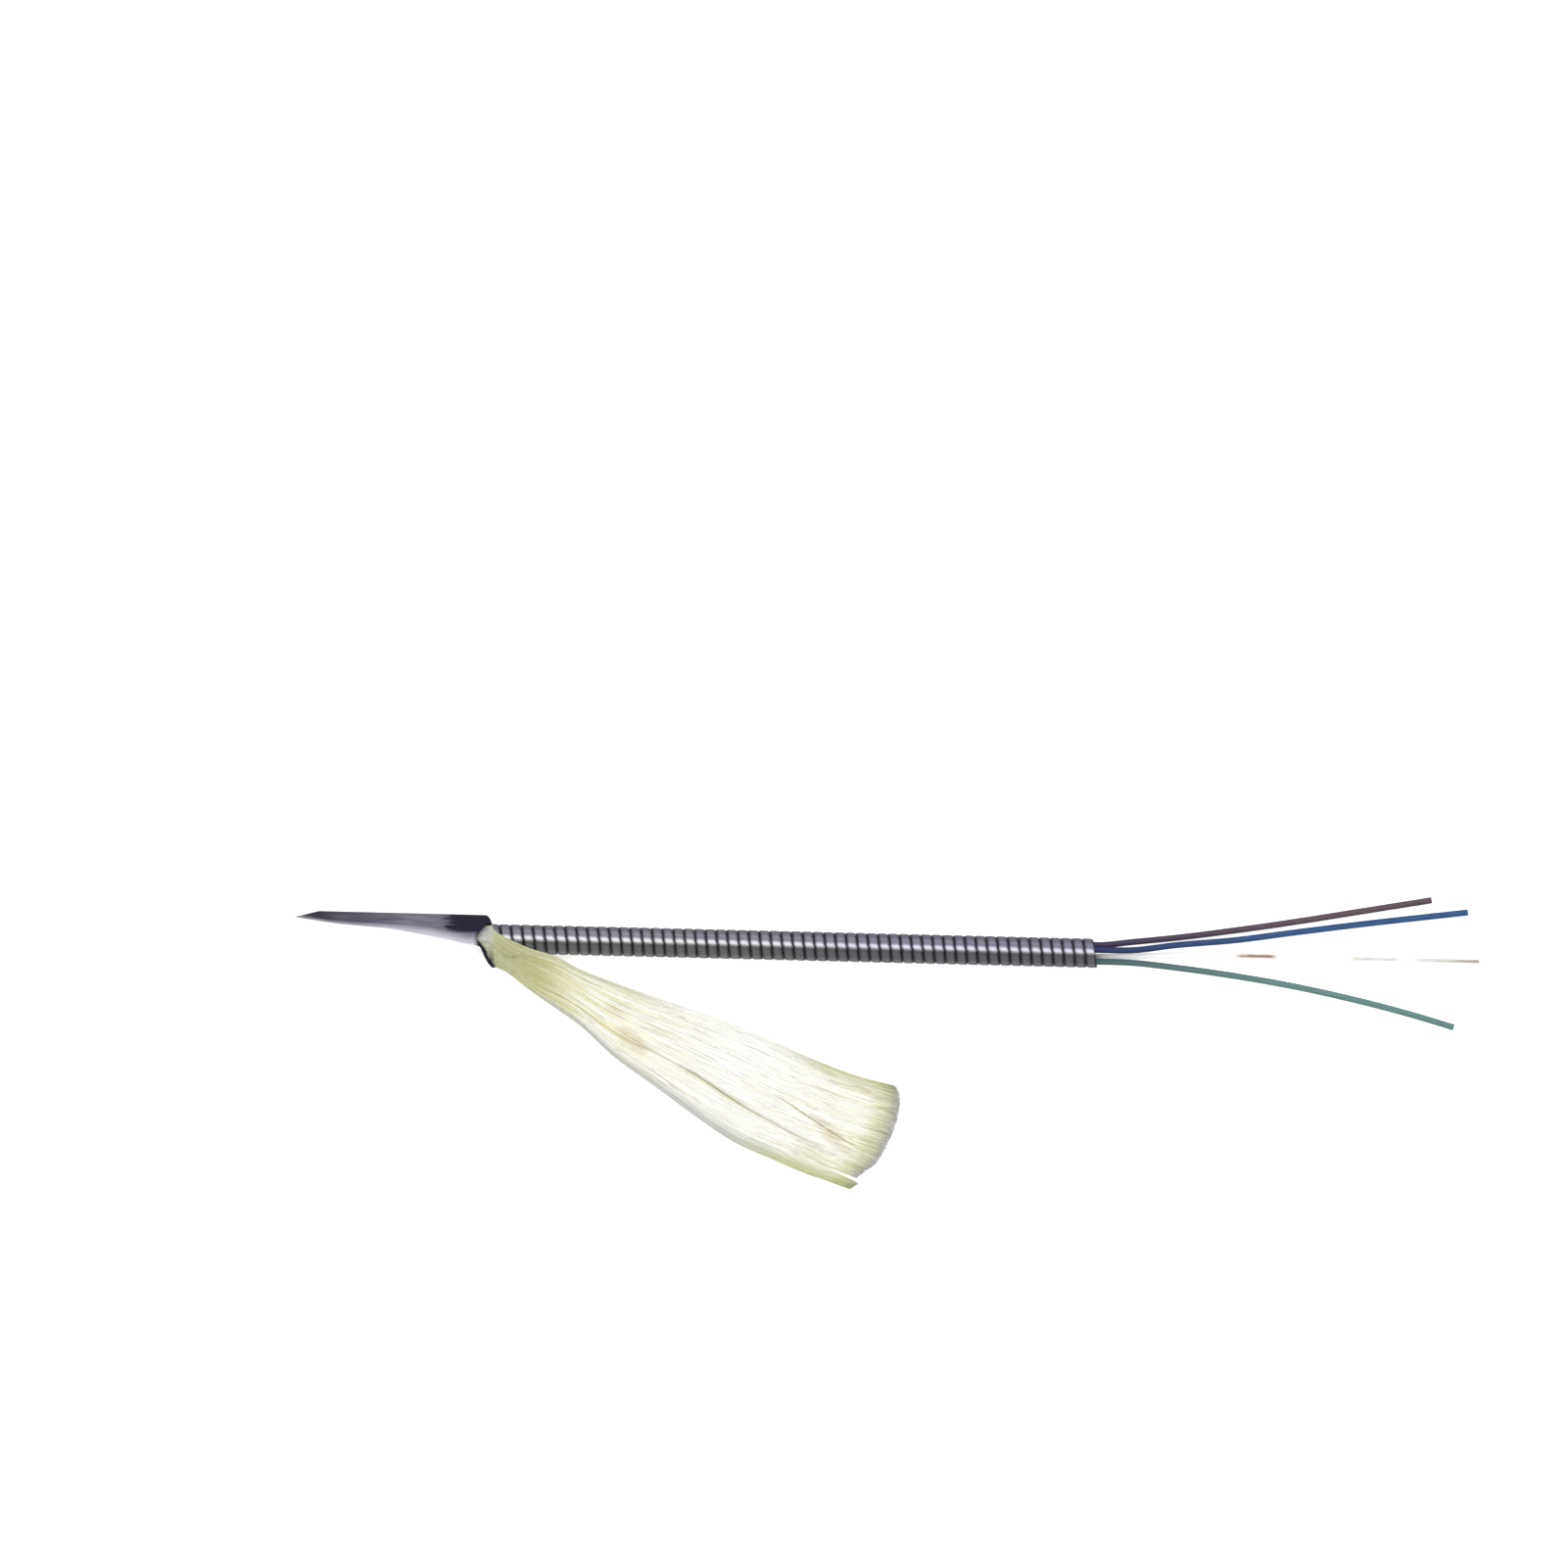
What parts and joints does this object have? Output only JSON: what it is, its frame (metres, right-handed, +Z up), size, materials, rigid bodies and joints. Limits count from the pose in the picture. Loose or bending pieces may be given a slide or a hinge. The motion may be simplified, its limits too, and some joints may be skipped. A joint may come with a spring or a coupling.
{
  "type": "armoured fibre patch cable",
  "caption": "Cut-back end of an outdoor armoured fibre patch cable: black jacket, folded-out aramid yarn, spiral steel armour and tight-buffered fibres.",
  "frame": {"origin": "middle of the base of the cable's bounding box, on the floor that it lies on", "axes": "+X along the cable from the jacket to the fibres' cut ends, +Y across the cable away from the folded-out yarn, +Z up from the floor"},
  "size_m": [0.1132, 0.0294, 0.005],
  "materials": {
    "jacket_black": "black extruded sheath, faint lengthwise drawing marks",
    "armour_steel": "bright rolled stainless strip",
    "aramid_yellow": "untwisted pale yellow filament yarn, silky",
    "buffer_brown": "smooth extruded tight buffer",
    "buffer_blue": "smooth extruded tight buffer",
    "buffer_orange": "smooth extruded tight buffer",
    "buffer_green": "smooth extruded tight buffer"
  },
  "bodies": {
    "root": {"outer_jacket": "jacket_black", "armour_tube": "armour_steel", "fibre_brown": "buffer_brown", "fibre_blue": "buffer_blue", "fibre_orange": "buffer_orange", "fibre_green": "buffer_green", "aramid_roving_1": "aramid_yellow", "aramid_roving_2": "aramid_yellow", "aramid_roving_3": "aramid_yellow", "aramid_roving_4": "aramid_yellow", "aramid_roving_5": "aramid_yellow", "aramid_roving_6": "aramid_yellow", "aramid_roving_7": "aramid_yellow"}
  },
  "joints": []
}
